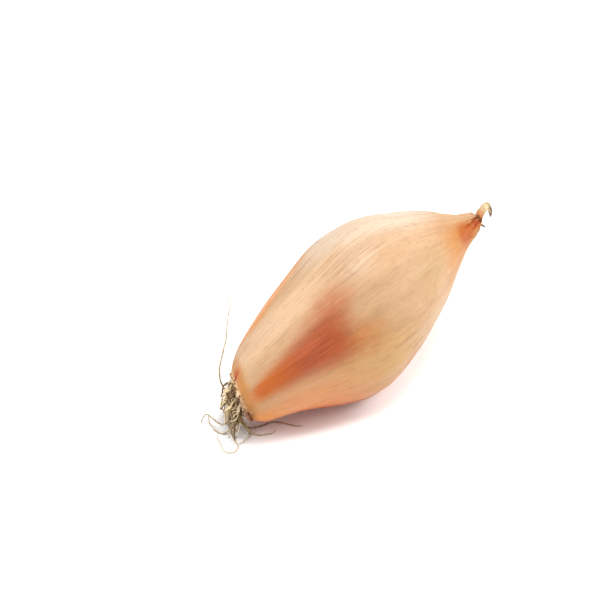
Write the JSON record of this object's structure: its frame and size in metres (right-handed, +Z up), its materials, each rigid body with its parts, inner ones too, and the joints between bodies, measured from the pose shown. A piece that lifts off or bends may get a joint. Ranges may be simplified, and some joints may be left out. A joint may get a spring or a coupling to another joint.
{
  "type": "shallot",
  "caption": "Long shallot bulb lying on its belly, in a veined dry skin, with a tuft of dead roots and a curled dry leaf end at the neck.",
  "frame": {"origin": "middle of the flat spot that the bulb rests on, on the floor", "axes": "+Z up, +X from the root end to the neck, +Y to the far side"},
  "size_m": [0.1048, 0.0438, 0.0469],
  "materials": {
    "dry_skin": "satin, papery, with fine lengthwise veins",
    "dry_root": "matte, dry and fibrous",
    "dry_leaf": "matte, dry and papery"
  },
  "bodies": {
    "root": {"bulb": "dry_skin", "root_tuft": "dry_root", "neck_tuft": "dry_leaf"}
  },
  "joints": []
}
